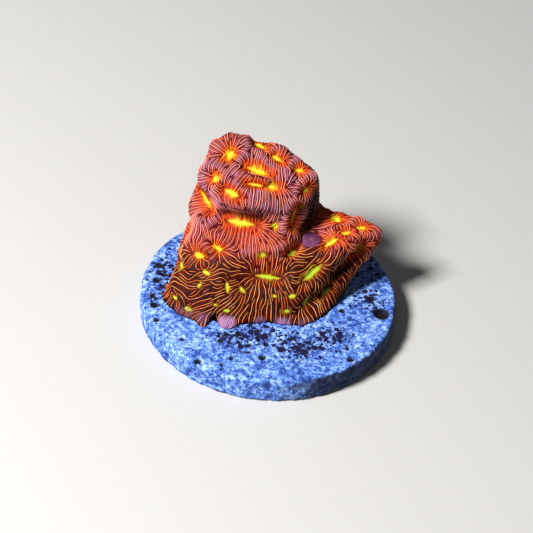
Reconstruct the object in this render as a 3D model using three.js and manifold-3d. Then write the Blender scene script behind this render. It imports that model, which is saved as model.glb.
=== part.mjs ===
// A brain coral colony grown on a round ceramic frag disc.
// Millimetres, +Z up. The origin is the middle of the disc's underside; -Y is the colony's front.
import * as THREE from "three";
import { mergeVertices } from "three/addons/utils/BufferGeometryUtils.js";
import Module from "manifold-3d";

// ---- Driving dimensions ----
const disc = { radius: 16, thickness: 3.3, edgeRound: 0.55, sides: 96 };
const colony = { facet: 0.8, blend: 0.8 }; // facet: the skin's mesh size; blend: how softly rocks meet

// The colony is a few rocks run together. A rock is the space behind its flat faces, with rounded edges.
// Each face: [the way it faces round the compass, its tilt above the horizon, a point on it].
// Angles in degrees: 0 faces +X (right), 90 +Y (back), -90 the front. z is the height above the disc.
const rocks = {
  crown: {
    round: 0.9,
    faces: [
      [-124, -2, [-7.6, 1.5, 12]], // front left
      [-66, -2, [-1, 0.9, 12]], // front right
      [-27, -2, [3.3, 2.4, 12]], // right, in shade over the notch
      [14, 2, [5.4, 7, 12]], // back right
      [70, 5, [2, 9.3, 10]], // back, two faces
      [106, 3, [-4, 9.7, 10]],
      [154, 9, [-11.2, 3.4, 14]], // left
      [-119, 59, [-5, 0, 14.4]], // top, the steep left part
      [-57, 62, [-5, 0, 14.4]], // top, the right part
      [0, -90, [0, 0, -2]],
    ],
  },
  shoulder: {
    round: 1.2,
    faces: [
      [-90, 32, [-4, 0.2, 10.6]], // front slope
      [-132, 30, [-9.2, -1.9, 7]],
      [158, 8, [-11.2, 1.5, 4]], // left
      [68, 12, [2, 10.2, 3]], // back, two faces
      [112, 10, [-6, 10.2, 3]],
      [-27, 3, [2.7, 2.6, 8]], // right, towards the notch
      [14, 3, [4.8, 7, 8]],
      [0, 90, [0, 0, 11.8]],
      [0, -90, [0, 0, -2]],
    ],
  },
  foot: {
    round: 0.9,
    faces: [
      [-90, 16, [0, -5.4, 0.5]],
      [-112, 22, [-7.6, -6.7, 0.5]],
      [-142, 20, [-10.3, -4.4, 0.5]],
      [176, 12, [-11.5, 0, 0.5]],
      [156, 10, [-12.0, 5, 0.5]],
      [75, 20, [1, 11.0, 0.5]],
      [115, 18, [-7, 10.6, 0.5]],
      [-40, 20, [7.6, -4.0, 0.5]],
      [-27, 0, [9.0, 1.6, 1]], // stops short of the lobe's overhang
      [25, 0, [7.6, 4, 1]],
      [-95, 60, [0, -3.4, 5.6]],
      [0, 90, [0, 0, 6.2]],
      [0, -90, [0, 0, -2]],
    ],
  },
  lobe: {
    round: 0.5,
    faces: [
      [-49, 21, [13.0, 3.2, 5.5]], // front right wall
      [-104, 20, [6.5, -2.0, 5.4]],
      [70, 2, [8.8, 7.1, 7]], // back
      [-27, -21, [9.6, 2.3, 0]], // undercut below that wall
      [21, -34, [14.1, 4.9, 6.8]], // underside, open over the disc
      [-57, 80, [8.5, 3.5, 8.5]], // top
      [-165, 50, [5.6, 3.5, 7.2]], // slope into the notch
      [0, -90, [0, 0, -2]],
    ],
  },
};

// Knobs: small round swellings. [x, y, z, radius]
const knobs = [
  [4.6, 2.8, 6.1, 1.15], // the bare knob in the notch
  [-5.7, 7.7, 16.8, 1.6], // humps along the back edge of the crown
  [-8.0, 7.0, 15.9, 1.2],
  [-0.4, 7.8, 15.7, 1.2],
  [-8.4, 8.0, 6.0, 2.0], // swellings on the back
  [1.4, 8.3, 9.0, 1.9],
  [-2.6, 9.3, 2.8, 2.2],
];

// Valleys: long hollows that hold rows of mouths. [from, to, radius, depth]
const valleys = [
  [[-9.8, 2.6, 11.6], [-4.6, -0.4, 10.6], 1.3, 1.3], // under the crown, left
  [[-4.6, -0.4, 10.6], [0.6, 0.8, 10.4], 1.3, 1.4], // under the crown, front
  [[-2.6, -4.0, 5.3], [1.6, -4.0, 5.3], 1.2, 0.9], // along the front of the foot
  [[4.2, -3.2, 4.6], [6.3, -1.2, 6.0], 1.0, 0.9], // beside the lobe
  [[4.6, -4.4, 1.9], [7.6, -2.3, 3.1], 1.0, 0.8],
  [[7.6, -2.3, 3.1], [9.2, 0.0, 4.9], 1.2, 1.6], // the deep one, in the lobe's wall
  [[9.2, 0.0, 4.9], [11.6, 2.8, 6.6], 0.9, 0.8],
  [[-6.5, 10.2, 8.5], [-1.0, 10.4, 7.0], 1.6, 1.0], // across the back
  [[-4.8, 9.8, 14.2], [1.4, 9.4, 12.6], 1.5, 0.9],
  [[-11.4, 4.0, 6.0], [-10.2, 8.0, 7.0], 1.4, 0.7], // on the left side
];

// Air bubbles that broke the disc's top while it was cast. [x, y, radius]
const pores = [
  [14.2, -1.9, 0.62],
  [-7.7, -13.0, 0.34],
  [-0.1, -11.6, 0.34],
  [10.6, -10.3, 0.3],
];

// ---- Shape functions: distance to a surface, negative inside ----
const degrees = (d) => THREE.MathUtils.degToRad(d);

function facing(compass, tilt) {
  const c = degrees(compass);
  const t = degrees(tilt);
  return new THREE.Vector3(Math.cos(c) * Math.cos(t), Math.sin(c) * Math.cos(t), Math.sin(t));
}

function smoothMin(a, b, width) {
  const h = Math.max(width - Math.abs(a - b), 0) / width;
  return Math.min(a, b) - (h * h * width) / 4;
}

const smoothMax = (a, b, width) => -smoothMin(-a, -b, width);

function rockDistance(rock) {
  const planes = rock.faces.map(([compass, tilt, point]) =>
    new THREE.Plane().setFromNormalAndCoplanarPoint(facing(compass, tilt), new THREE.Vector3(...point)),
  );
  return (p) =>
    planes.map((plane) => plane.distanceToPoint(p)).reduce((a, b) => smoothMax(a, b, 2 * rock.round));
}

function lineDistance(from, to) {
  const line = new THREE.Line3(new THREE.Vector3(...from), new THREE.Vector3(...to));
  const near = new THREE.Vector3();
  return (p) => line.closestPointToPoint(p, true, near).distanceTo(p);
}

const rockSkins = Object.values(rocks).map(rockDistance);
const valleyLines = valleys.map(([from, to, radius, depth]) => ({
  away: lineDistance(from, to),
  radius,
  depth,
}));

function colonyDistance(p) {
  let d = rockSkins.map((skin) => skin(p)).reduce((a, b) => smoothMin(a, b, 2 * colony.blend));
  for (const [x, y, z, radius] of knobs) {
    const ball = Math.hypot(p.x - x, p.y - y, p.z - z) - radius;
    d = smoothMin(d, ball, colony.blend);
  }
  for (const { away, radius, depth } of valleyLines) {
    const reach = away(p) / (radius * 1.4);
    d += depth * Math.exp(-reach * reach);
  }
  return Math.max(d, -p.z);
}

// ---- Surface nets: one vertex in each cell that the surface crosses, one quad across each crossed edge ----
function skinOf(distance, box, step) {
  const size = box.getSize(new THREE.Vector3());
  const [nx, ny, nz] = size.toArray().map((s) => Math.ceil(s / step) + 1);
  const index = (i, j, k) => i + nx * (j + ny * k);
  const corner = (i, j, k) =>
    new THREE.Vector3(i, j, k).multiplyScalar(step).add(box.min);
  const values = new Float32Array(nx * ny * nz);
  for (let k = 0; k < nz; k++)
    for (let j = 0; j < ny; j++)
      for (let i = 0; i < nx; i++) values[index(i, j, k)] = distance(corner(i, j, k));

  const offsets = [];
  for (let n = 0; n < 8; n++) offsets.push([n & 1, (n >> 1) & 1, (n >> 2) & 1]);
  const cellVertex = new Map();
  const positions = [];
  for (let k = 0; k < nz - 1; k++)
    for (let j = 0; j < ny - 1; j++)
      for (let i = 0; i < nx - 1; i++) {
        const crossings = [];
        for (let a = 0; a < 8; a++)
          for (let bit = 0; bit < 3; bit++) {
            const b = a | (1 << bit);
            if (b === a) continue;
            const [pa, pb] = [offsets[a], offsets[b]].map(([x, y, z]) => [i + x, j + y, k + z]);
            const va = values[index(...pa)];
            const vb = values[index(...pb)];
            if (va < 0 === vb < 0) continue;
            const point = corner(...pa).lerp(corner(...pb), va / (va - vb));
            crossings.push({ point, level: bit < 2 });
          }
        if (!crossings.length) continue;
        // The lowest layer is the flat cut: its rim follows the wall above, so that the edge stays crisp.
        const wall = crossings.filter(({ level }) => level);
        const used = k === 0 && wall.length ? wall : crossings;
        const vertex = new THREE.Vector3();
        used.forEach(({ point }) => vertex.addScaledVector(point, 1 / used.length));
        cellVertex.set(index(i, j, k), positions.length / 3);
        positions.push(vertex.x, vertex.y, k === 0 ? 0 : vertex.z);
      }

  const triangles = [];
  const axes = [[1, 0, 0], [0, 1, 0], [0, 0, 1]];
  for (let k = 0; k < nz - 1; k++)
    for (let j = 0; j < ny - 1; j++)
      for (let i = 0; i < nx - 1; i++) triangles.push(...quadsAt(i, j, k));

  function quadsAt(i, j, k) {
    const out = [];
    axes.forEach(([x, y, z], axis) => {
      const here = values[index(i, j, k)] < 0;
      const there = values[index(i + x, j + y, k + z)] < 0;
      if (here === there) return;
      const u = axes[(axis + 1) % 3];
      const v = axes[(axis + 2) % 3];
      const at = (s, t) =>
        cellVertex.get(index(i - s * u[0] - t * v[0], j - s * u[1] - t * v[1], k - s * u[2] - t * v[2]));
      const [a, b, c, d] = [at(1, 1), at(0, 1), at(0, 0), at(1, 0)];
      out.push(...(here ? [a, b, c, a, c, d] : [a, c, b, a, d, c]));
    });
    return out;
  }

  const geometry = new THREE.BufferGeometry();
  geometry.setAttribute("position", new THREE.Float32BufferAttribute(positions, 3));
  geometry.setIndex(triangles);
  geometry.computeVertexNormals();
  return geometry;
}

function colonyGeometry() {
  const { facet } = colony;
  const box = new THREE.Box3(
    new THREE.Vector3(-15, -9, -facet / 2),
    new THREE.Vector3(15, 13, 20.5),
  );
  return skinOf(colonyDistance, box, facet);
}

// ---- Disc: a turned slab with soft edges, and a few open pores ----
function discProfile() {
  const { radius, thickness, edgeRound } = disc;
  const half = new THREE.Shape();
  half.moveTo(0, 0);
  half.lineTo(radius - edgeRound, 0);
  half.absarc(radius - edgeRound, edgeRound, edgeRound, -Math.PI / 2, 0);
  half.absarc(radius - edgeRound, thickness - edgeRound, edgeRound, 0, Math.PI / 2);
  half.lineTo(0, thickness);
  return half.getPoints(2);
}

const wasm = await Module();
wasm.setup();

function solid(geometry) {
  const bare = geometry.clone();
  bare.deleteAttribute("normal");
  bare.deleteAttribute("uv");
  const merged = mergeVertices(bare, 1e-4);
  return new wasm.Manifold(
    new wasm.Mesh({
      numProp: 3,
      vertProperties: merged.attributes.position.array,
      triVerts: new Uint32Array(merged.index.array),
    }),
  );
}

function geometryOf(manifold) {
  const mesh = manifold.getMesh();
  const geometry = new THREE.BufferGeometry();
  geometry.setAttribute("position", new THREE.BufferAttribute(mesh.vertProperties, 3));
  geometry.setIndex(new THREE.BufferAttribute(mesh.triVerts, 1));
  geometry.computeVertexNormals();
  return geometry;
}

function discGeometry() {
  const slab = new THREE.LatheGeometry(discProfile(), disc.sides);
  slab.rotateX(Math.PI / 2); // the lathe turns about Y: this stands its axis up along Z
  return geometryOf(
    pores.reduce((body, [x, y, radius]) => {
      const bubble = new THREE.SphereGeometry(radius, 10, 7);
      bubble.translate(x, y, disc.thickness);
      return body.subtract(solid(bubble));
    }, solid(slab)),
  );
}

// ---- Assembly ----
const part = new THREE.Group();

const discMesh = new THREE.Mesh(
  discGeometry(),
  new THREE.MeshStandardMaterial({ color: 0x5f8fe8, roughness: 0.85, metalness: 0 }),
);
discMesh.name = "frag_disc";
part.add(discMesh);

const colonyMesh = new THREE.Mesh(
  colonyGeometry(),
  new THREE.MeshStandardMaterial({ color: 0xb5432c, roughness: 0.5, metalness: 0 }),
);
colonyMesh.name = "coral_colony";
colonyMesh.position.z = disc.thickness;
part.add(colonyMesh);

export default part;
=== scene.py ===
import math
import random

import bmesh
import bpy
import numpy as np
from mathutils import Matrix, Vector, kdtree, noise
from mathutils.bvhtree import BVHTree


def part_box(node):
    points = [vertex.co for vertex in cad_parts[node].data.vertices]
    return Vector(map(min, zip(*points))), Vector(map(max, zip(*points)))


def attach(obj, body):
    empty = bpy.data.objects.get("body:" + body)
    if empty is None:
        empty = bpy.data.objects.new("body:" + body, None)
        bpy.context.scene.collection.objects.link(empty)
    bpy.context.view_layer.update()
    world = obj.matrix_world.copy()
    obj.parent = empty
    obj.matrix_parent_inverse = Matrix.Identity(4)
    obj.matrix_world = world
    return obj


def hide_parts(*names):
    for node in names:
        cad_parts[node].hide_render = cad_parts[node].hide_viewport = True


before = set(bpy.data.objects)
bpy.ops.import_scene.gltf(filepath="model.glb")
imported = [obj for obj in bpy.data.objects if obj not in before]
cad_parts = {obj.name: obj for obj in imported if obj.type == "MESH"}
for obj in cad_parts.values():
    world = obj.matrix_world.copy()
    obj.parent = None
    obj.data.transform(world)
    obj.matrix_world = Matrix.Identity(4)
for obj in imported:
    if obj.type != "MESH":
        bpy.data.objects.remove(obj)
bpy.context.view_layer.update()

# A brain coral on its round ceramic disc. Shapes are worked out in millimetres and stored in metres.
mm = 0.001
discLow, discHigh = [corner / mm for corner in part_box("frag_disc")]
discTop = discHigh.z
discRadius = (discHigh.x - discLow.x) / 2

# The camera looks down on the colony's front from a hand's length away, with a long lens and a slight tilt.
viewer = {
    "lensMm": 138.8,
    "sensorMm": 36,
    "away": 256,
    "elevation": 41.6,
    "tilt": 5.35,
    "aimRight": -0.31,
    "aimUp": 3.33,
}


def smoothStep(low, high, values):
    t = np.clip((values - low) / (high - low), 0, 1)
    return t * t * (3 - 2 * t)


def unit(vectors):
    return vectors / np.maximum(np.linalg.norm(vectors, axis=-1, keepdims=True), 1e-9)


rise = math.radians(viewer["elevation"])
viewAcross = Vector((1, 0, 0))
viewUp = Vector((0, math.sin(rise), math.cos(rise)))
viewMiddle = Vector((0, 0, discTop))
eye = viewMiddle + Vector((0, -math.cos(rise), math.sin(rise))) * viewer["away"]


def makeCamera():
    tilt = math.radians(viewer["tilt"])
    right = viewAcross * math.cos(tilt) + viewUp * math.sin(tilt)
    up = viewUp * math.cos(tilt) - viewAcross * math.sin(tilt)
    aim = viewMiddle + right * viewer["aimRight"] + up * viewer["aimUp"]
    forward = (aim - eye).normalized()
    right = forward.cross(up).normalized()
    up = right.cross(forward)
    lens = bpy.data.cameras.new("camera")
    lens.lens, lens.sensor_width = viewer["lensMm"], viewer["sensorMm"]
    lens.clip_start = 0.01
    camera = bpy.data.objects.new("camera", lens)
    turn = Matrix((right, up, -forward)).transposed().to_4x4()
    camera.matrix_world = Matrix.Translation(eye * mm) @ turn
    bpy.context.scene.collection.objects.link(camera)
    bpy.context.scene.camera = camera



def linear(hexColour):
    parts = [int(hexColour[i : i + 2], 16) / 255 for i in (1, 3, 5)]
    return [c / 12.92 if c <= 0.04045 else ((c + 0.055) / 1.055) ** 2.4 for c in parts] + [1]


def addNode(tree, kind, sockets=None, stops=None, **settings):
    node = tree.nodes.new(kind)
    for name, value in settings.items():
        setattr(node, name, value)
    for name, value in (sockets or {}).items():
        if isinstance(value, bpy.types.NodeSocket):
            tree.links.new(value, node.inputs[name])
        else:
            node.inputs[name].default_value = linear(value) if isinstance(value, str) else value
    if stops:
        ramp = node.color_ramp
        while len(ramp.elements) < len(stops):
            ramp.elements.new(0.5)
        for element, (place, colour) in zip(ramp.elements, stops):
            element.position = place
            element.color = linear(colour) if isinstance(colour, str) else [colour] * 3 + [1]
    return node


def newMaterial(name):
    material = bpy.data.materials.new(name)
    material.use_nodes = True
    tree = material.node_tree
    tree.nodes.clear()
    surface = addNode(tree, "ShaderNodeBsdfPrincipled")
    addNode(tree, "ShaderNodeOutputMaterial", {"Surface": surface.outputs[0]})
    return material, tree, surface


def mixColours(tree, share, first, second):
    return addNode(tree, "ShaderNodeMix", {0: share, 6: first, 7: second}, data_type="RGBA").outputs[2]


def shareOf(tree, attribute):
    return addNode(tree, "ShaderNodeAttribute", attribute_name=attribute).outputs["Fac"]


def ramp(tree, value, stops):
    return addNode(tree, "ShaderNodeValToRGB", {0: value}, stops).outputs[0]


def grain(tree, place, sizeMm, detail=3, roughness=0.5):
    sockets = {"Vector": place, "Scale": 1 / (sizeMm * mm), "Detail": detail, "Roughness": roughness}
    return addNode(tree, "ShaderNodeTexNoise", sockets).outputs[0]


def timesPlus(tree, value, factor, added=0.0):
    sockets = {0: value, 1: factor, 2: added}
    return addNode(tree, "ShaderNodeMath", sockets, operation="MULTIPLY_ADD").outputs[0]


def addBump(tree, surface, height, strength, depthMm):
    bump = addNode(tree, "ShaderNodeBump", {"Height": height, "Strength": strength, "Distance": depthMm * mm})
    tree.links.new(bump.outputs[0], surface.inputs["Normal"])


# Living coral skin is wet and drawn tight over limestone ribs. The grooves between ribs are dark crimson,
# nearly black low on the front. Every other rib has a bright crest: orange by the mouths, salmon on the
# crests of the folds and peach low down. The ribs between those are mauve on the folds and dull red below.
coralLook = {
    "groove": [(0.0, "#841404"), (0.3, "#640604"), (0.65, "#56060e"), (1.0, "#500c22")],
    "rib": [(0.0, "#fc7026"), (0.25, "#f4703a"), (0.6, "#ee8660"), (1.0, "#e4908a")],
    "fineRib": [(0.0, "#e04e1a"), (0.3, "#cc3e22"), (0.6, "#c05048"), (1.0, "#b07090")],
    "grooveLow": [(0.0, "#4a0a02"), (0.4, "#280200"), (1.0, "#1a0100")],
    "ribLow": [(0.0, "#ffa038"), (0.35, "#f67c30"), (1.0, "#e8703a")],
    "fineRibLow": [(0.0, "#a83a10"), (0.4, "#74200a"), (1.0, "#60180c")],
    "mouth": [(0.0, "#e8581a"), (0.35, "#f0801c"), (0.65, "#f0b820"), (0.95, "#dedc36")],
    "mouthGreen": [(0.0, "#b85418"), (0.35, "#bc861c"), (0.65, "#b4b824"), (0.95, "#98cc38")],
    "ribPale": "#f8b25c",
    # pale beads on the ribs: partly their own colour, partly painted highlights of wet shine
    "bead": "#ffc48a",
    "margin": "#d4a8c0",
    "marginGroove": "#9a6a9c",
    "bare": [(0.35, "#5a2e50"), (0.65, "#8c5078")],
    # near black: painted shade for the skin where little light comes in
    "paintedShade": "#120505",
    "mottleMm": 0.9,
    "paleMm": 3.5,
    "beadAndGlintMm": 0.55,
    "poreMm": 0.07,
    "poreDepthMm": 0.03,
    "roughness": 0.51,  # in the grooves: crests are wetter and shine more
    "crestShine": -0.36,
    "ior": 1.36,
    "specular": 0.2,
}


def coralMaterial():
    look = coralLook
    material, tree, surface = newMaterial("wetCoralSkin")
    place = addNode(tree, "ShaderNodeTexCoord").outputs["Object"]
    low, crest, fine, glow = (shareOf(tree, name) for name in ("low", "crest", "faint", "glow"))
    mottle = grain(tree, place, look["mottleMm"])
    slope = timesPlus(tree, mottle, 0.7, timesPlus(tree, shareOf(tree, "slope"), 1, -0.35))

    def byHeight(high, lowDown):
        return mixColours(tree, low, ramp(tree, slope, look[high]), ramp(tree, slope, look[lowDown]))

    # pale spots along the ribs, strongest low down: partly the ribs' own beads, partly painted highlights of
    # wet shine
    beadsAndGlints = ramp(tree, grain(tree, place, look["beadAndGlintMm"], 1), [(0.55, 0.0), (0.72, 1.0)])
    pale = ramp(tree, grain(tree, place, look["paleMm"], 1), [(0.45, 0.0), (0.65, 0.6)])
    rib = mixColours(tree, timesPlus(tree, pale, low), byHeight("rib", "ribLow"), look["ribPale"])
    rib = mixColours(tree, timesPlus(tree, beadsAndGlints, timesPlus(tree, low, 0.7, 0.1)), rib, look["bead"])
    rib = mixColours(tree, fine, rib, byHeight("fineRib", "fineRibLow"))
    onCrest = ramp(tree, crest, [(0.22, 0.0), (0.62, 1.0)])
    colour = mixColours(tree, onCrest, byHeight("groove", "grooveLow"), rib)
    mouth = mixColours(
        tree, shareOf(tree, "green"), ramp(tree, glow, look["mouth"]), ramp(tree, glow, look["mouthGreen"])
    )
    further = timesPlus(tree, glow, timesPlus(tree, crest, 1.1, 0.75))  # the yellow runs out along the ribs
    colour = mixColours(tree, ramp(tree, further, [(0.1, 0.0), (0.6, 1.0)]), colour, mouth)
    edge = mixColours(tree, crest, look["marginGroove"], look["margin"])
    colour = mixColours(tree, shareOf(tree, "margin"), colour, edge)
    bald = ramp(tree, grain(tree, place, look["poreMm"] * 3), look["bare"])
    colour = mixColours(tree, shareOf(tree, "bare"), colour, bald)
    # painted shade: the skin darkened where little light comes in
    colour = mixColours(tree, shareOf(tree, "paintedShade"), colour, look["paintedShade"])
    tree.links.new(colour, surface.inputs["Base Color"])
    addBump(tree, surface, grain(tree, place, look["poreMm"], 2), 0.35, look["poreDepthMm"])
    dull = timesPlus(tree, grain(tree, place, look["mottleMm"] / 3), 0.3, look["roughness"])
    tree.links.new(timesPlus(tree, crest, look["crestShine"], dull), surface.inputs["Roughness"])
    surface.inputs["IOR"].default_value = look["ior"]
    surface.inputs["Specular IOR Level"].default_value = look["specular"]
    return material


# Mouths as they are seen from the front: [across, up, length of the slit, its heading, reach, glow, green].
# Across and up are from the middle of the disc's top, square to the line of sight. Reach is how much of the
# skin round it a mouth draws its ribs from, glow how wide its yellow is, and green how green that is.
mouthSettings = {
    "front": [
        (-6.5, 16.8, 0.4, 60, 1.25, 0.66, 0.1),
        (-2.7, 15.3, 2.8, -14, 1.15, 0.62, 0.1),
        (-8.1, 13.7, 0.3, 80, 0.8, 0.42, 0.2),
        (-5.9, 12.0, 2.0, -23, 0.9, 0.5, 0.4),
        (-0.6, 13.4, 0.8, 2, 1.1, 0.5, 0.2),
        (-2.9, 13.5, 2.0, -4, 0.8, 0.26, 0.1),
        (-2.7, 18.4, 1.2, -19, 0.7, 0.4, 0.2),
        (-0.4, 16.9, 1.3, -27, 0.75, 0.36, 0.2),
        (2.4, 15.8, 0.6, 10, 0.55, 0.3, 0.0),
        (-9.3, 10.7, 3.0, -48, 1.0, 0.38, 0.3),
        (-4.3, 8.3, 3.6, -5, 1.4, 0.56, 0.4),
        (0.0, 8.4, 0.3, 0, 0.4, 0.3, 0.4),
        (-10.9, 6.5, 1.6, -106, 0.9, 0.5, 0.4),
        (-6.9, 5.0, 0.6, -30, 0.7, 0.38, 0.3),
        (-9.3, 3.9, 0.8, -15, 0.75, 0.42, 0.2),
        (-1.2, 4.7, 0.2, 0, 0.4, 0.32, 0.7),
        (-11.5, 2.5, 0.6, -70, 0.55, 0.32, 0.7),
        (-8.1, 1.8, 0.7, -20, 0.5, 0.32, 0.7),
        (-8.8, 0.2, 0.3, 60, 0.35, 0.28, 0.7),
        (-5.2, 0.2, 1.2, -80, 0.45, 0.32, 0.6),
        (-3.3, 0.1, 0.8, -48, 0.3, 0.26, 0.7),
        (-0.3, 2.0, 3.2, 0, 1.25, 0.34, 0.8),
        (2.5, 5.4, 1.2, 39, 0.5, 0.28, 0.9),
        (5.2, 3.0, 3.0, 48, 0.95, 0.42, 0.9),
        (3.0, -0.1, 0.7, 10, 0.35, 0.32, 0.8),
        (5.0, -0.5, 1.4, 55, 0.55, 0.34, 0.9),
        (0.7, -0.3, 0.2, 0, 0.2, 0.2, 0.7),
        (-6.5, -2.1, 0.2, 0, 0.22, 0.2, 0.7),
        (-9.9, -2.9, 0.6, -15, 0.28, 0.26, 0.9),
        (-11.7, -1.7, 0.4, -30, 0.32, 0.26, 0.8),
        (-5.0, -2.7, 0.5, 0, 0.26, 0.24, 0.9),
        (2.5, -2.1, 0.4, 0, 0.26, 0.24, 0.9),
        (7.0, 7.3, 2.0, 35, 0.85, 0.5, 0.5),
        (8.9, 8.6, 0.5, 20, 0.55, 0.34, 0.2),
        (7.3, 10.3, 1.1, -23, 0.85, 0.46, 0.4),
        (10.8, 9.4, 0.5, 0, 0.5, 0.32, 0.3),
        (10.8, 6.2, 1.6, 57, 0.7, 0.34, 0.9),
        (9.1, 4.6, 1.5, 50, 0.4, 0.28, 0.9),
        (7.3, 0.8, 1.8, 48, 0.5, 0.24, 0.8),
        (2.4, 9.7, 2.4, 76, 0.5, 0.2, 0.7),
        (3.7, 13.4, 1.0, 46, 0.5, 0.22, 0.5),
        (3.5, 11.1, 0.3, 60, 0.35, 0.2, 0.5),
        (4.8, 11.9, 0.3, 80, 0.35, 0.2, 0.5),
    ],
    "small": 0.5,  # mouths with less reach than this bend only the ribs next to them
    "backGap": 4.6,  # how far apart the mouths stand where the colony is seen from behind
    "lowDown": 3,  # below this height over the disc they are smaller, and closer by the next share
    "lowCloser": 0.62,
    "lowest": 0.9,
    "tries": 6000,
    "depth": 0.36,
    "glow": 0.86,
    "seed": 11,
}

relief = {
    "ridgeHeight": 0.34,
    "ridgeWidth": 1.0,
    "lumpHeight": 0.09,
    "lumpSize": 1.6,
    "sunk": 0.22,  # the skin lies this far inside the solid, because the ribs stand on it
}

# Below this edge the front of the colony is dark with bright lines: [across, up], seen as the mouths are.
lowEdge = [
    (-12, 4.2), (-8, 3.0), (-5, 3.4), (-0.5, 2.5), (2, 3.6), (4.5, 6.4), (6.5, 5.6), (9, 4.0), (12, 5.5),
]

# Which way ribs run where no mouth leads them: [across, up, heading], seen as the mouths are.
currents = [
    (-7.3, -1.3, 27), (-8.4, -2.5, 18), (-4.6, -1.8, 42), (-2.4, -1.2, 67), (-1.1, -1.2, 80),
    (0.5, -1.1, 97), (2.1, -1.4, 110), (-10.8, 0.1, -15), (-8.7, 1.0, 8), (-4.3, 2.3, 8),
    (3.4, 3.5, 40), (5.3, 5.7, 40), (10.4, 4.2, 130), (9.4, 2.6, 130), (6.9, -0.7, 128),
    (8.3, 0.8, 130), (1.6, 0.7, 115), (-10.3, 9.7, 3), (5.6, 8.9, 0), (-3.4, -2.3, 55),
    (-4.3, 9.9, 97), (-7.0, 9.9, 122), (-1.9, 10.8, 88), (0.6, 11.0, 112), (-5.6, 9.8, 108),
    (-3.1, 10.3, 93), (-0.6, 11.0, 99), (-5.9, 14.0, 60), (-6.9, 14.6, 75), (-4.9, 13.3, 55),
    (-2.0, 14.4, 95), (-0.6, 14.8, 95),
]

# Painted shade where little light comes in, the skin's colour taken towards near black:
# [across, up, half length, heading, half width, share].
paintedShadePlaces = [
    (4.3, 10.4, 2.1, 78, 1.25, 0.96),
    (3.1, 9.4, 1.5, 80, 0.7, 0.7),
    (8.7, 3.6, 1.1, 52, 0.55, 0.8),
    (6.6, 0.7, 1.0, 48, 0.35, 0.6),
    (-6.6, -3.9, 0.8, 70, 0.28, 0.95),
    (-4.0, 9.3, 2.2, -5, 0.4, 0.5),
    (9.9, 1.9, 2.2, 50, 0.5, 0.6),
]

# Where the foot runs out over the disc: [x, y, radius, how far, how lavender].
tongues = [
    (-10.2, -5.4, 1.5, 0.3, 0.1),
    (-7.7, -6.2, 0.9, 1.2, 0.25),
    (-4.8, -6.6, 1.2, 1.3, 0.9),
    (2.0, -6.4, 1.4, 0.4, 0.8),
    (5.0, -5.8, 1.3, 1.0, 0.2),
    (-0.6, -6.4, 1.2, -0.2, 0.5),
    (-6.4, -6.3, 0.5, -1.9, 0.0),
]

# Folds the solid leaves out, seen as the mouths are: [across, up, half length, heading, half width, height].
folds = [
    (-8.0, 18.6, 0.6, 60, 1.1, 0.75),
    (-6.7, 19.9, 0.5, 0, 0.6, -0.25),
    (-10.7, 14.6, 1.4, 72, 1.0, -0.4),
    (9.4, 4.3, 2.6, 50, 0.55, -0.75),
    (6.4, 0.4, 1.2, 48, 0.45, -0.5),
    (2.9, 9.2, 1.2, 75, 0.5, -0.5),
    (-4.3, 8.8, 2.5, -5, 0.45, -0.55),
    (-9.6, 10.4, 1.2, -48, 0.5, -0.3),
    (-3.2, 13.9, 1.8, -4, 0.4, 0.35),
    (2.3, 14.2, 0.3, 60, 0.5, -0.5),
    (4.5, 7.0, 0.3, 5, 0.75, 0.7),
    (3.3, 6.6, 0.5, 75, 0.3, -0.35),
]
bareKnobs = [(4.5, 7.0, 0.32, 5, 0.8, 1)]  # a bald knob in the notch, laid on like the folds


def meshArrays(mesh):
    places = np.empty(len(mesh.vertices) * 3, np.float32)
    normals = np.empty(len(mesh.vertices) * 3, np.float32)
    mesh.vertices.foreach_get("co", places)
    mesh.vertices.foreach_get("normal", normals)
    return places.reshape(-1, 3).astype(float) / mm, normals.reshape(-1, 3).astype(float)


def storePlaces(mesh, places):
    mesh.vertices.foreach_set("co", (places * mm).astype(np.float32).ravel())
    mesh.update()


def fineSkin():
    # the solid's own surface, merged, with a crisp foot, made 24 times finer
    shape = bmesh.new()
    shape.from_mesh(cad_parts["coral_colony"].data)
    bmesh.ops.remove_doubles(shape, verts=shape.verts, dist=0.002 * mm)
    crease = shape.edges.layers.float.new("crease_edge")

    def onDisc(face):
        return face.normal.z < -0.98 and face.calc_center_median().z < (discTop + 0.1) * mm

    for edge in shape.edges:
        down = [onDisc(face) for face in edge.link_faces]
        edge[crease] = float(len(down) == 2 and down[0] != down[1])
    coarse = bpy.data.meshes.new("coarse")
    shape.to_mesh(coarse)
    shape.free()
    model = bpy.data.objects.new("coarse", coarse)
    bpy.context.scene.collection.objects.link(model)
    finer = model.modifiers.new("finer", "SUBSURF")
    finer.levels = finer.render_levels = 2
    fine = bpy.data.meshes.new_from_object(model.evaluated_get(bpy.context.evaluated_depsgraph_get()))
    bpy.data.objects.remove(model)
    fine.polygons.foreach_set("use_smooth", np.ones(len(fine.polygons), bool))
    return fine


def surfaceTree(places, mesh):
    faces = [tuple(face.vertices) for face in mesh.polygons]
    return BVHTree.FromPolygons([Vector(p) for p in places], faces), faces


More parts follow.
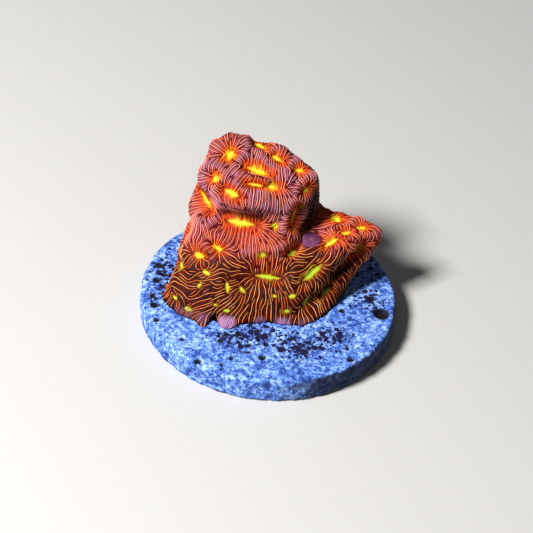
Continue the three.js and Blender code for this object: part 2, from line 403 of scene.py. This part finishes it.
def findMouths(places, normals, tree):
    ends, reach, glow, green = [], [], [], []
    for across, up, length, heading, size, width, greenness in mouthSettings["front"]:
        ray = (viewMiddle + viewAcross * across + viewUp * up - eye).normalized()
        middle, normal = tree.ray_cast(eye, ray)[:2]
        if middle is None:
            middle, normal = tree.find_nearest(eye + ray * (viewer["away"] - 6))[:2]
        turn = math.radians(heading)
        half = (viewAcross * math.cos(turn) + viewUp * math.sin(turn)) * (length / 2)
        half -= ray * (half.dot(normal) / min(-0.4, ray.dot(normal)))  # laid down on the skin
        found = [np.array(tree.find_nearest(middle + half * side)[0]) for side in (-1, 1)]
        ends.append(found)
        reach.append(size)
        glow.append(width)
        green.append(greenness)
    chance = random.Random(mouthSettings["seed"])
    order = list(range(len(places)))
    chance.shuffle(order)
    towards = np.array(eye)
    for n in order[: mouthSettings["tries"]]:
        spot, normal = places[n], normals[n]
        seen = normal.dot(unit(towards - spot)) > 0.12 and not tree.ray_cast(
            Vector(spot) + Vector(normal) * 0.2, Vector(towards - spot).normalized()
        )[0]
        if seen or spot[2] < discTop + mouthSettings["lowest"]:
            continue
        lowDown = spot[2] < discTop + mouthSettings["lowDown"]
        gap = mouthSettings["backGap"] * (mouthSettings["lowCloser"] if lowDown else 1)
        if min(np.linalg.norm((a + b) / 2 - spot) for a, b in ends) < gap:
            continue
        side = unit(np.cross(normal, [chance.gauss(0, 1) for _ in range(3)]))
        half = side * chance.uniform(0.1, 0.5 if lowDown else 1.0)
        ends.append([spot - half, spot + half])
        reach.append(chance.uniform(0.35, 0.6) if lowDown else chance.uniform(0.6, 1.2))
        glow.append(chance.uniform(0.26, 0.34) if lowDown else chance.uniform(0.34, 0.55))
        green.append(chance.uniform(0.5, 0.9) if lowDown else chance.uniform(0.1, 0.6))
    return np.array(ends), np.array(reach), np.array(glow), np.array(green)


def sinkMouths(ends, tree, corners, moved):
    for slit in ends:
        for end in slit:
            face = tree.find_nearest(end)[2]
            end += moved[list(corners[face])].mean(0)


def towardsMouths(places, facing, mouths):
    # for each place and mouth: the step from the slit, its length, and how full the slit is there
    ends = mouths[0]
    start, along = ends[:, 0], ends[:, 1] - ends[:, 0]
    step = places[:, None, :] - start[None]
    t = np.clip((step * along).sum(2) / np.maximum((along * along).sum(1), 1e-6), 0, 1)
    step = step - t[..., None] * along[None]
    lift = (step * facing[:, None]).sum(2)
    away = np.sqrt(np.maximum((step * step).sum(2) - 0.8 * lift * lift, 0))
    lens = np.minimum(1, np.linalg.norm(along, axis=1) / 2) * (2 * t - 1) ** 2
    return step, away, 1 - 0.7 * lens


def inChunks(work, *arrays, size=8000):
    parts = [work(*[a[i : i + size] for a in arrays]) for i in range(0, len(arrays[0]), size)]
    return [np.concatenate(columns) for columns in zip(*parts)]


def seenNear(places, facing, strokes):
    # how near each place is to short strokes laid on the front, each as strong as its last number says
    seen = np.stack([places[:, 0], (places - viewMiddle) @ np.array(viewUp)], axis=1)
    front = smoothStep(-0.4, 0.1, facing @ unit(np.array(eye)))
    found = []
    for across, up, half, heading, width, strength in strokes:
        turn = math.radians(heading)
        step = seen - (across, up)
        along = step @ (math.cos(turn), math.sin(turn))
        aside = step @ (-math.sin(turn), math.cos(turn))
        away = np.hypot(along - np.clip(along, -half, half), aside)
        found.append(strength * front * np.exp(-((away / width) ** 2)))
    return np.array(found)


def footSpread(places, height):
    spread = margin = np.zeros(len(places))
    for x, y, radius, reach, lavender in tongues:
        near = np.exp(-(((places[:, 0] - x) ** 2 + (places[:, 1] - y) ** 2) / radius**2))
        spread = spread + reach * near
        margin = np.maximum(margin, lavender * smoothStep(0.25, 0.7, near))
    return spread * smoothStep(1.3, 0.1, height), margin * smoothStep(1.1, 0.7, height)


def twoNearest(away, reach):
    # the two mouths that each place belongs to most, and how far they are in shares of their reach
    felt = np.where(reach >= mouthSettings["small"], away / reach, 99)
    order = np.argsort(felt, axis=1)[:, :2]
    rows = np.arange(len(away))
    return felt, order, rows, felt[rows, order[:, 0]], felt[rows, order[:, 1]]


def skinFields(places, normals, mouths, rays=1.0):
    # what each place on the skin is near to, as shares from 0 to 1 that the materials read
    _, reach, width, green = mouths
    ragged = np.array([1 + 0.7 * noise.noise(Vector(p) * 2.3) for p in places])

    def work(spots, facing, ray):
        _, away, full = towardsMouths(spots, facing, mouths)
        _, order, rows, first, second = twoNearest(away, reach)
        size = reach[order[:, 0]]
        nearest = away[rows, order[:, 0]]
        glows = np.exp(-((away / (mouthSettings["glow"] * width * full * ray[:, None])) ** 2)) * full**0.5
        glow = glows.max(1)
        greenness = green[glows.argmax(1)]
        dent = (np.exp(-((away / (0.3 + 0.5 * reach)) ** 2)) * reach).max(1)
        gap = (second - first) * size
        ridge = np.exp(-((gap / relief["ridgeWidth"]) ** 2)) * smoothStep(0.4, 1.1, nearest)
        return glow, ridge, nearest, greenness, dent, away.min(1)

    glow, ridge, nearest, greenness, dent, closest = inChunks(work, places, normals, ragged * rays)
    height = places[:, 2] - discTop
    seenUp = places @ np.array(viewUp) - viewMiddle.dot(viewUp)
    edge = np.interp(places[:, 0], *zip(*lowEdge))
    front = smoothStep(-0.25, 0.1, normals @ unit(np.array(eye)))
    low = smoothStep(2.4, -1.2, seenUp - edge) * front + smoothStep(4.2, 1.8, height) * (1 - front)
    high = smoothStep(8.0, 10.5, height) * smoothStep(7.0, 5.5, places[:, 0])
    slope = smoothStep(0.15, 1.8, nearest) * (0.5 + 0.2 * high) + ridge * (0.22 + 0.2 * high)
    slope = np.clip(slope, 0, 1)
    spread, margin = footSpread(places, height)
    bare = smoothStep(0.28, 0.42, seenNear(places, normals, bareKnobs).max(0))
    return {
        "glow": glow,
        "ridge": ridge,
        "slope": slope,
        "green": greenness,
        "low": low,
        "margin": margin,
        "spread": spread,
        "bare": bare,
        # painted shade where little light comes in
        "paintedShade": seenNear(places, normals, paintedShadePlaces).max(0),
        "nearest": closest,
        "dent": dent,
    }


def addRelief(places, normals, fields):
    height = places[:, 2] - discTop
    footFade = smoothStep(0.1, 1.2, height)
    lumps = np.array([noise.noise(Vector(p / relief["lumpSize"])) for p in places])
    rise = relief["ridgeHeight"] * fields["ridge"] * (1 - 0.75 * fields["low"])
    rise += seenNear(places, normals, folds).sum(0)
    rise = rise - mouthSettings["depth"] * fields["dent"] + relief["lumpHeight"] * lumps - relief["sunk"]
    flat = (normals[:, 2] < -0.9) & (height < 0.1)
    fray = np.array([noise.noise(Vector((p[0] * 2, p[1] * 2, 7))) for p in places])
    outward = normals * (1, 1, 0)
    spread = fields["spread"] + 0.45 * fray * smoothStep(0.9, 0.0, height)
    places = places + outward * np.where(flat, 0, spread)[:, None]
    return places + normals * np.where(flat, 0, rise * footFade)[:, None]


flow = {
    "mix": 0.35,
    "ridgePull": 2.2,
    "footPull": 3.0,
    "current": 5.0,
    "currentMm": 1.2,
    "smoothing": 12,
    "wander": 0.5,
    "wanderMm": 0.95,
}


def ribWays(places, normals, mesh, mouths):
    reach = mouths[1]
    large = reach >= mouthSettings["small"]

    def work(spots, facing):
        step, away, _ = towardsMouths(spots, facing, mouths)
        step = unit(step - (step * facing[:, None]).sum(2)[..., None] * facing[:, None])
        felt, order, rows, first, second = twoNearest(away, reach)
        weight = np.exp(-(felt - first[:, None]) / flow["mix"])
        weight += np.where(large, 0, 4 * np.exp(-((away / (0.35 + 0.7 * reach)) ** 2)))
        tensor = np.einsum("nm,nmi,nmj->nij", weight, step, step)
        ahead, behind = (step[rows, k] / reach[k, None] for k in (order[:, 0], order[:, 1]))
        split = unit(ahead - behind)
        pull = flow["ridgePull"] * np.exp(-((second - first) / 0.8) ** 2)
        tensor += pull[:, None, None] * split[:, :, None] * split[:, None, :]
        down = unit(np.array([0, 0, -1]) + facing[:, 2:3] * facing)
        seen = np.stack([spots[:, 0], (spots - viewMiddle) @ np.array(viewUp)], axis=1)
        front = smoothStep(-0.2, 0.2, facing @ unit(np.array(eye)))
        for across, up, heading in currents:
            turn = math.radians(heading)
            way = np.array(viewAcross) * math.cos(turn) + np.array(viewUp) * math.sin(turn)
            way = unit(way - (facing @ way)[:, None] * facing)
            apart = ((seen - (across, up)) ** 2).sum(1)
            pull = flow["current"] * front * np.exp(-apart / flow["currentMm"] ** 2)
            tensor += pull[:, None, None] * way[:, :, None] * way[:, None, :]
        pull = flow["footPull"] * smoothStep(1.6, 0.3, spots[:, 2] - discTop)
        tensor += pull[:, None, None] * down[:, :, None] * down[:, None, :]
        return (tensor / np.trace(tensor, axis1=1, axis2=2)[:, None, None],)

    tensor = inChunks(work, places, normals)[0].reshape(-1, 9)
    edges = np.empty(len(mesh.edges) * 2, np.int32)
    mesh.edges.foreach_get("vertices", edges)
    a, b = edges.reshape(-1, 2).T
    count = np.bincount(a, minlength=len(places)) + np.bincount(b, minlength=len(places))
    for _ in range(flow["smoothing"]):
        spread = [
            np.bincount(a, tensor[b, k], len(places)) + np.bincount(b, tensor[a, k], len(places))
            for k in range(9)
        ]
        tensor = 0.5 * tensor + 0.5 * np.stack(spread, axis=1) / count[:, None]
    _, vectors = np.linalg.eigh(tensor.reshape(-1, 3, 3))
    ways = vectors[:, :, 2]
    return unit(ways - (ways * normals).sum(1)[:, None] * normals)


ribs = {
    "step": 0.12,
    "gap": 0.44,  # between ribs on the crown
    "lowGap": 0.52,  # between the bright ribs low down
    "starGap": 0.36,  # between ribs where they leave a mouth
    "closest": 0.52,  # a rib ends where it comes this share of the gap from another
    "shortest": 0.7,
    "longest": 16,
    "narrowest": 0.08,  # half widths
    "widest": 0.24,
    "height": 0.06,
    "fineHeight": 0.02,
    "lowSlim": 0.4,
    "fineSlim": 0.88,
    "breaks": 0.004,  # the chance that a rib ends at each step, and the same low down
    "lowBreaks": 0.007,
    "cell": 0.35,  # points are looked up by cells of this size
    "ownPoints": 14,  # a rib isn't crowded by this many of its own last points
    "agreement": 1.5,  # a rib ends where the headings at a face's corners add up to less than this
    "stalled": 0.06,  # a ring this close to the last one is left out
    "steepness": 0.6,
    "bead": 0.3,
    "seed": 5,
}


class RibTracer:
    def __init__(self, places, mesh, ways, gaps, breaks, closed):
        self.tree, self.faces = surfaceTree(places, mesh)
        self.breaks = breaks.tolist()
        self.chance = random.Random(ribs["seed"])
        self.ways = [Vector(w) for w in ways]
        self.gaps = [float(g) for g in gaps]
        self.closed = closed.tolist()
        self.cell = ribs["cell"]
        self.cells = {}
        self.lines = []

    def spotOn(self, place):
        spot, normal, face, _ = self.tree.find_nearest(place)
        return spot, normal, self.faces[face]

    def wayAt(self, corners, normal, heading):
        total = Vector((0, 0, 0))
        for corner in corners:
            way = self.ways[corner]
            total += way if way.dot(heading) >= 0 else -way
        total -= normal * total.dot(normal)
        return total

    def crowded(self, spot, radius, line=-1, index=0):
        reach = int(radius / self.cell) + 1
        i, j, k = (math.floor(c / self.cell) for c in spot)
        for x in range(i - reach, i + reach + 1):
            for y in range(j - reach, j + reach + 1):
                for z in range(k - reach, k + reach + 1):
                    for other, owner, at in self.cells.get((x, y, z), ()):
                        if owner == line and abs(at - index) < ribs["ownPoints"]:
                            continue
                        if (other - spot).length_squared < radius * radius:
                            return True
        return False

    def remember(self, spot, line, index):
        key = tuple(math.floor(c / self.cell) for c in spot)
        self.cells.setdefault(key, []).append((spot, line, index))

    def walk(self, seed, heading, line, sign):
        points = []
        spot, normal, corners = self.spotOn(seed)
        way = heading
        for n in range(int(ribs["longest"] / ribs["step"])):
            total = self.wayAt(corners, normal, way)
            if total.length < ribs["agreement"]:
                break
            way = total.normalized()
            spot, normal, corners = self.spotOn(spot + way * ribs["step"])
            if spot.z < discTop + 0.06 or normal.z < -0.75 or self.closed[corners[0]]:
                break
            if self.chance.random() < self.breaks[corners[0]]:
                break
            if self.crowded(spot, self.gaps[corners[0]] * ribs["closest"], line, sign * (n + 1)):
                break
            self.remember(spot, line, sign * (n + 1))
            points.append((spot, normal, corners[0]))
        return points

    def trace(self, seed, heading=None, bothWays=True):
        line = len(self.lines)
        spot, normal, corners = self.spotOn(seed)
        if spot.z < discTop + 0.1 or (bothWays and self.closed[corners[0]]):
            return None
        if heading is None:
            heading = self.ways[corners[0]]
        ahead = self.walk(spot, heading, line, 1)
        behind = self.walk(spot, -heading, line, -1) if bothWays else []
        points = behind[::-1] + [(spot, normal, corners[0])] + ahead
        self.lines.append([])
        if len(points) * ribs["step"] < ribs["shortest"]:
            for cell in self.cells.values():
                while cell and cell[-1][1] == line:
                    cell.pop()
            return None
        self.remember(spot, line, 0)
        self.lines[line] = points
        return points

    def fill(self, share=1.0, free=0.93):
        # new ribs start beside the ones there are, until no room is left
        at = 0
        while at < len(self.lines):
            for spot, normal, corner in self.lines[at][::3]:
                side = normal.cross(self.ways[corner])
                gap = self.gaps[corner] * share
                for sign in (-1, 1):
                    seed = self.spotOn(spot + side * (sign * gap))[0]
                    if not self.crowded(seed, gap * free):
                        self.trace(seed)
            at += 1


def traceStars(tracer, mouths):
    for (start, end), size in sorted(zip(mouths[0].tolist(), mouths[1]), key=lambda m: -m[1]):
        start, end = Vector(start), Vector(end)
        middle, normal, _ = tracer.spotOn((start + end) / 2)
        along = end - start
        half = along.length / 2
        along = (along - normal * along.dot(normal)).normalized()
        side = normal.cross(along)
        rim = 0.16 + 0.14 * size
        count = max(6, round((4 * half + 2 * math.pi * rim) / ribs["starGap"]))
        for n in range(count):
            angle = 2 * math.pi * (n + 0.5) / count
            outward = along * math.cos(angle) + side * math.sin(angle)
            seed = middle + along * (half * math.cos(angle)) + outward * rim
            seed = tracer.spotOn(seed)[0]
            if not tracer.crowded(seed, 0.15):
                tracer.trace(seed, outward, bothWays=False)


ribShape = [(-1, -0.4, 0), (-0.5, 0.6, 0.5), (0, 1, 1), (0.5, 0.6, 0.5), (1, -0.4, 0)]  # across, up, crest


def smoothed(values, rounds):
    for _ in range(rounds):
        values[1:-1] = (values[:-2] + 2 * values[1:-1] + values[2:]) / 4
    return values


def sweepRibs(name, lines, halfWidths, faint):
    # a low arch swept along each line, square to the skin, that narrows away at both ends
    across, up, crest = (np.array(column) for column in zip(*ribShape))
    points, faces, crests, faints, rays = [], [], [], [], []
    chance = random.Random(ribs["seed"])
    count = 0
    sides = len(across)
    for line, widths in zip(lines, halfWidths):
        places = smoothed(np.array([p[0] for p in line]), 4)
        keep = [0]
        for n in [*range(2, len(line) - 1, 2), len(line) - 1]:
            if np.linalg.norm(places[n] - places[keep[-1]]) > ribs["stalled"]:
                keep.append(n)
        places = places[keep]
        normals = unit(smoothed(np.array([p[1] for p in line]), 4)[keep])
        half = smoothed(widths[keep], 4)
        side = unit(np.cross(normals, np.gradient(places, axis=0)))
        end = np.minimum(np.arange(len(keep)), np.arange(len(keep))[::-1])
        taper = np.interp(end, [0, 1, 2, 3], [0.3, 0.75, 0.95, 1])
        bead = np.array([1 + ribs["bead"] * noise.noise(Vector(p) * 3.1) for p in places])
        tall = (half * ribs["steepness"] + ribs["fineHeight" if faint else "height"]) * taper * bead
        half = half * (0.35 + 0.65 * taper)
        rings = places[:, None] + side[:, None] * (half[:, None] * across)[..., None]
        rings = rings + normals[:, None] * (tall[:, None] * up)[..., None]
        points.append(rings.reshape(-1, 3))
        crests.append(np.tile(crest, len(keep)) * np.repeat(taper, sides))
        faints.append(np.full(len(keep) * sides, faint))
        ray = chance.uniform(0.85, 1.4) if faint else chance.uniform(1.1, 2.1)
        rays.append(np.full(len(keep) * sides, ray))
        for n in range(len(keep) - 1):
            a = count + n * sides
            for k in range(sides):
                m = (k + 1) % sides
                faces.append((a + k, a + sides + k, a + sides + m, a + m))
        faces.append(tuple(range(count, count + sides)))
        faces.append(tuple(range(count + len(keep) * sides - 1, count + (len(keep) - 1) * sides - 1, -1)))
        count += len(keep) * sides
    mesh = bpy.data.meshes.new(name)
    mesh.from_pydata((np.concatenate(points) * mm).tolist(), [], faces)
    mesh.polygons.foreach_set("use_smooth", np.ones(len(mesh.polygons), bool))
    return mesh, np.concatenate(crests), np.concatenate(faints), np.concatenate(rays)


def halfGaps(lines):
    # half the way from each point of a rib to the next rib beside it
    spots = [(point[0], n) for n, line in enumerate(lines) for point in line[::2]]
    near = kdtree.KDTree(len(spots))
    for n, (spot, _) in enumerate(spots):
        near.insert(spot, n)
    near.balance()
    found = []
    for n, line in enumerate(lines):
        widths = []
        for spot, _, _ in line:
            others = [away for _, k, away in near.find_n(spot, 14) if spots[k][1] != n]
            widths.append(min(others, default=9) / 2)
        found.append(np.clip(np.array(widths), ribs["narrowest"], ribs["widest"]))
    return found


def addShares(mesh, fields, names):
    for name in names:
        layer = mesh.attributes.new(name, "FLOAT", "POINT")
        layer.data.foreach_set("value", fields[name].astype(np.float32))


shares = ["glow", "slope", "green", "low", "margin", "bare", "paintedShade", "crest", "faint"]


def showPiece(name, mesh, material, node):
    piece = bpy.data.objects.new(name, mesh)
    bpy.context.scene.collection.objects.link(piece)
    mesh.materials.clear()
    mesh.materials.append(material)
    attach(piece, "root")
    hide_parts(node)


def buildColony():
    skin = fineSkin()
    places, normals = meshArrays(skin)
    tree, corners = surfaceTree(places, skin)
    mouths = findMouths(places, normals, tree)
    print("mouths:", len(mouths[0]), "skin points:", len(places))
    flat, fields = places, skinFields(places, normals, mouths)
    places = addRelief(places, normals, fields)
    storePlaces(skin, places)
    sinkMouths(mouths[0], tree, corners, places - flat)
    places, normals = meshArrays(skin)
    fields = skinFields(places, normals, mouths)
    ways = ribWays(places, normals, skin, mouths)
    turn = flow["wander"] * np.array([noise.noise(Vector(p / flow["wanderMm"])) for p in places])
    meander = np.exp(-(((places[:, 2] - discTop - 5.2) / 1.3) ** 2))
    turn *= 0.3 + 0.8 * fields["low"] + 1.3 * meander
    ways = ways * np.cos(turn)[:, None] + np.cross(normals, ways) * np.sin(turn)[:, None]
    gaps = ribs["gap"] + (ribs["lowGap"] - ribs["gap"]) * fields["low"]
    gaps *= 0.62 + 0.38 * smoothStep(0.3, 1.5, fields["nearest"])
    closed = (fields["nearest"] < 0.13) | (fields["bare"] > 0.4)
    breaks = ribs["breaks"] + (ribs["lowBreaks"] - ribs["breaks"]) * fields["low"]
    tracer = RibTracer(places, skin, ways, gaps, breaks, closed)
    traceStars(tracer, mouths)
    tracer.fill()
    firstFine = len(tracer.lines)
    tracer.gaps = [gap * 0.5 for gap in tracer.gaps]
    tracer.fill(free=0.8)
    main = [line for line in tracer.lines[:firstFine] if line]
    fine = [line for line in tracer.lines[firstFine:] if line]
    print("bright ribs:", len(main), "ribs between:", len(fine))

    coral = coralMaterial()
    fields["crest"] = fields["faint"] = np.zeros(len(places))
    addShares(skin, fields, shares)
    showPiece("coral_skin", skin, coral, "coral_colony")
    widths = halfGaps(main + fine)
    for line, halves in zip(main + fine, widths):
        halves *= 1 - ribs["lowSlim"] * fields["low"][[corner for _, _, corner in line]]
    for halves in widths[len(main) :]:
        halves *= ribs["fineSlim"]
    for name, lines, halves, faint in (
        ("coral_ribs", main, widths[: len(main)], 0),
        ("coral_fine_ribs", fine, widths[len(main) :], 1),
    ):
        mesh, crest, faints, rays = sweepRibs(name, lines, halves, faint)
        spots, facing = meshArrays(mesh)
        found = skinFields(spots, facing, mouths, rays)
        found["crest"], found["faint"] = crest, faints
        addShares(mesh, found, shares)
        showPiece(name, mesh, coral, "coral_colony")
        mesh.calc_loop_triangles()
        print(name, "triangles:", len(mesh.loop_triangles))


discSettings = {
    "steps": 600,
    "fineFrom": 4.5,
    "spacing": 0.17,
    "edgeRound": 0.6,
    "roughness": 0.09,
    "grain": 0.5,
    "rimWear": 0.2,
    "pits": 900,
    "pores": [  # the holes: [x, y, radius, depth]
        (14.1, -1.9, 0.95, 0.6),
        (12.9, 0.9, 0.4, 0.3),
        (9.2, -1.9, 0.36, 0.3),
        (10.6, -10.5, 0.36, 0.35),
        (-0.1, -11.6, 0.42, 0.4),
        (0.2, -9.2, 0.32, 0.3),
        (-0.7, -8.5, 0.2, 0.2),
        (-1.9, -9.7, 0.34, 0.3),
        (-1.8, -10.8, 0.28, 0.3),
        (-3.2, -7.7, 0.34, 0.3),
        (-3.75, -12.2, 0.22, 0.25),
        (-4.9, -13.5, 0.25, 0.25),
        (-5.3, -9.4, 0.3, 0.3),
        (-7.75, -13.3, 0.4, 0.4),
        (-9.9, -9.7, 0.26, 0.3),
        (-13.4, -6.7, 0.36, 0.3),
        (-13.9, -4.0, 0.5, 0.35),
        (-14.3, -2.3, 0.38, 0.3),
        (-14.1, 0.6, 0.45, 0.3),
        (-13.3, 1.7, 0.35, 0.3),
        (-15.2, 2.1, 0.3, 0.25),
        (-14.2, 3.6, 0.4, 0.3),
    ],
    "algae": [  # where dark specks crowd: [x, y, radius, strength]
        (-12.3, 2.6, 3.4, 1.0),
        (-12.8, -2.2, 2.4, 0.8),
        (4.5, -9.4, 3.0, 1.1),
        (8.6, -6.4, 2.4, 1.0),
        (-5.0, -9.0, 1.8, 0.9),
        (-1.0, -7.4, 1.6, 0.8),
        (12.6, 0.2, 2.6, 1.0),
        (-3.1, -8.3, 2.2, 0.7),
        (0.5, -7.6, 2.5, 0.6),
        (10.5, 8.5, 4.0, 0.8),
        (-6.0, 12.0, 4.0, 0.7),
    ],
    "seed": 3,
}


def discProfile():
    s = discSettings
    edge, top = s["edgeRound"], discTop
    profile = [(0.0, top), (1.5, top), (3.0, top)]
    wide = discRadius - edge - s["fineFrom"]
    steps = round(wide / s["spacing"])
    profile += [(s["fineFrom"] + wide * n / steps, top) for n in range(steps + 1)]
    for n in range(1, 5):
        a = math.radians(22.5 * n)
        profile.append((discRadius - edge + edge * math.sin(a), top - edge + edge * math.cos(a)))
    steps = round((top - 2 * edge) / s["spacing"])
    profile += [(discRadius, top - edge - (top - 2 * edge) * n / steps) for n in range(1, steps + 1)]
    for n in range(1, 5):
        a = math.radians(22.5 * n)
        profile.append((discRadius - edge + edge * math.cos(a), edge - edge * math.sin(a)))
    profile += [(r, 0.0) for r in (14.6, 13, 11, 8, 4, 0)]
    return profile


def buildDisc():
    s = discSettings
    shape = bmesh.new()
    row = [shape.verts.new((x, 0, z)) for x, z in discProfile()]
    for a, b in zip(row, row[1:]):
        shape.edges.new((a, b))
    bmesh.ops.spin(
        shape, geom=shape.verts[:] + shape.edges[:], axis=(0, 0, 1), cent=(0, 0, 0), angle=2 * math.pi,
        steps=s["steps"], use_merge=True,
    )
    bmesh.ops.remove_doubles(shape, verts=shape.verts, dist=0.001)
    bmesh.ops.recalc_face_normals(shape, faces=shape.faces)
    chance = random.Random(s["seed"])
    pits = list(s["pores"])
    for _ in range(s["pits"]):
        r, a = discRadius * math.sqrt(chance.random()), chance.uniform(0, 2 * math.pi)
        size = chance.choice((0.1, 0.13, 0.16, 0.22))
        pits.append((r * math.cos(a), r * math.sin(a), size, size * 0.8))
    near = kdtree.KDTree(len(pits))
    for n, (x, y, _, _) in enumerate(pits):
        near.insert((x, y, 0), n)
    near.balance()
    for vert in shape.verts:
        x, y, z = vert.co
        if z < 0.02 or math.hypot(x, y) < s["fineFrom"] - 0.1:
            continue
        normal = vert.normal
        rough = noise.noise(vert.co / s["grain"]) + 0.6 * noise.noise(vert.co / 0.33)
        side = smoothStep(0.8, 0.3, np.array(abs(normal.z)))
        move = -s["roughness"] * (1 + 1.4 * side) * abs(rough)
        rim = math.exp(-(((math.hypot(x, y) - discRadius) / 0.5) ** 2))
        move -= s["rimWear"] * rim * max(0, noise.noise(vert.co / 1.3) + 0.25)
        if z > discTop - 0.05:
            for _, n, away in near.find_range((x, y, 0), 0.8):
                size, depth = pits[n][2:]
                move -= depth * math.exp(-((away / size) ** 4))
        vert.co += normal * float(move)
    # listed by place, so that corners and faces come in the same order on each run
    ordered = sorted(shape.verts, key=lambda vert: tuple(vert.co))
    for n, vert in enumerate(ordered):
        vert.index = n
    faces = sorted([vert.index for vert in face.verts] for face in shape.faces)
    mesh = bpy.data.meshes.new("disc_body")
    mesh.from_pydata([vert.co * mm for vert in ordered], [], faces)
    shape.free()
    mesh.polygons.foreach_set("use_smooth", np.ones(len(mesh.polygons), bool))
    places, normals = meshArrays(mesh)
    algae = np.zeros(len(places))
    for x, y, radius, strength in s["algae"]:
        algae += strength * np.exp(-(((places[:, 0] - x) ** 2 + (places[:, 1] - y) ** 2) / radius**2))
    # painted shade, nearly black inside the larger holes
    paintedHoleShade = np.zeros(len(places))
    for x, y, radius, _ in s["pores"]:
        away = np.hypot(places[:, 0] - x, places[:, 1] - y)
        paintedHoleShade = np.maximum(paintedHoleShade, smoothStep(1.25, 0.95, away / radius) * (places[:, 2] > 0.5))
    around = np.degrees(np.arctan2(places[:, 1], places[:, 0]))
    # painted shade on the right of the side wall, which faces away from the light
    paintedSideShade = smoothStep(0.9, 0.6, normals[:, 2]) * smoothStep(-82, -62, around) * smoothStep(30, 5, around)
    found = {"algae": np.clip(algae, 0, 1.2), "paintedHoleShade": paintedHoleShade, "paintedSideShade": paintedSideShade}
    addShares(mesh, found, ["algae", "paintedHoleShade", "paintedSideShade"])
    showPiece("disc_body", mesh, discMaterial(), "frag_disc")


# Unglazed cast ceramic: chalky and full of fine pits, pale to deep blue, where the blue is painted blue light
# on a pale body, with crisp dark specks of algae settled in them, painted shade nearly black inside the holes
# and on the right of the side wall.
discLook = {
    # the blue of the body is painted blue light; the ceramic itself is pale
    "body": [(0.27, "#22367a"), (0.4, "#3e66ba"), (0.51, "#6a94e6"), (0.67, "#a4c8fc")],
    "grainDark": "#2a3f8e",
    "speck": "#100f36",
    "stain": "#3c3c84",
    # painted shade inside the holes
    "paintedHoleShade": "#07070f",
    # painted shade for the right of the side wall
    "side": "#120d28",
    "mottleMm": 3.0,
    "grainMm": 0.6,
    "grainDepthMm": 0.12,
    "speckBend": 0.0006,
    "roughness": 0.65,
    "specular": 0.25,
    "specks": [(1.2, 0.35), (0.65, 0.29), (0.36, 0.33)],  # size in mm, and how rare they are
}


def discMaterial():
    look = discLook
    material, tree, surface = newMaterial("unglazedCeramic")
    place = addNode(tree, "ShaderNodeTexCoord").outputs["Object"]
    algae = shareOf(tree, "algae")

    def specks(sizeMm, rare):
        # spots of uneven size and outline: some cells of the pattern have a large one, most have none
        wobble = addNode(tree, "ShaderNodeTexNoise", {"Vector": place, "Scale": 2.2 / (sizeMm * mm)})
        bent = mixColours(tree, look["speckBend"] * sizeMm, place, wobble.outputs["Color"])
        cells = addNode(tree, "ShaderNodeTexVoronoi", {"Vector": bent, "Scale": 1 / (sizeMm * mm)})
        chance = timesPlus(tree, cells.outputs["Color"], 0.6, timesPlus(tree, algae, 0.42, -rare))
        return ramp(tree, timesPlus(tree, cells.outputs["Distance"], -1.0, chance), [(0.0, 0.0), (0.07, 1.0)])

    fine = grain(tree, place, look["grainMm"], 5, 0.7)
    patches = grain(tree, place, look["mottleMm"], 3, 0.6)
    tone = timesPlus(tree, patches, 0.6, timesPlus(tree, fine, 1.5, -0.55))
    dark = grain(tree, place, look["grainMm"] * 0.6, 2, 0.6)
    pitted = ramp(tree, dark, [(0.54, 0.0), (0.64, 0.85)])
    colour = mixColours(tree, pitted, ramp(tree, tone, look["body"]), look["grainDark"])
    colour = mixColours(tree, timesPlus(tree, algae, 0.12), colour, look["stain"])
    for sizeMm, rare in look["specks"]:
        colour = mixColours(tree, specks(sizeMm, rare), colour, look["speck"])
    # painted shade inside the holes
    colour = mixColours(tree, shareOf(tree, "paintedHoleShade"), colour, look["paintedHoleShade"])
    # painted shade on the right of the side wall
    colour = mixColours(tree, timesPlus(tree, shareOf(tree, "paintedSideShade"), 0.85), colour, look["side"])
    tree.links.new(colour, surface.inputs["Base Color"])
    addBump(tree, surface, fine, 0.9, look["grainDepthMm"])
    tree.links.new(timesPlus(tree, fine, 0.3, look["roughness"]), surface.inputs["Roughness"])
    surface.inputs["Specular IOR Level"].default_value = look["specular"]
    return material


def makeStudio():
    floorShape = bmesh.new()
    bmesh.ops.create_grid(floorShape, x_segments=1, y_segments=1, size=1.5)
    floorMesh = bpy.data.meshes.new("floor")
    floorShape.to_mesh(floorMesh)
    floorShape.free()
    floor = bpy.data.objects.new("floor", floorMesh)
    bpy.context.scene.collection.objects.link(floor)
    material, tree, surface = newMaterial("paleFloor")
    surface.inputs["Base Color"].default_value = linear("#c4c2be")
    surface.inputs["Roughness"].default_value = 0.9
    floorMesh.materials.append(material)
    for name, spot, size, power in (
        ("key", (-0.2, -0.14, 0.27), 0.08, 2.5),
        ("fill", (0.25, -0.3, 0.3), 0.3, 0.05),
    ):
        light = bpy.data.lights.new(name, "AREA")
        light.size, light.energy = size, power
        lamp = bpy.data.objects.new(name, light)
        lamp.location = spot
        lamp.rotation_euler = (Vector((0, 0, 0.01)) - Vector(spot)).to_track_quat("-Z", "Y").to_euler()
        bpy.context.scene.collection.objects.link(lamp)
    world = bpy.data.worlds.new("studio")
    world.use_nodes = True
    world.node_tree.nodes["Background"].inputs[0].default_value = linear("#f4f4f6")
    world.node_tree.nodes["Background"].inputs[1].default_value = 0.08
    bpy.context.scene.world = world
    bpy.context.scene.view_settings.view_transform = "Standard"


makeCamera()
makeStudio()
buildDisc()
print("disc made")
buildColony()
print("colony made")
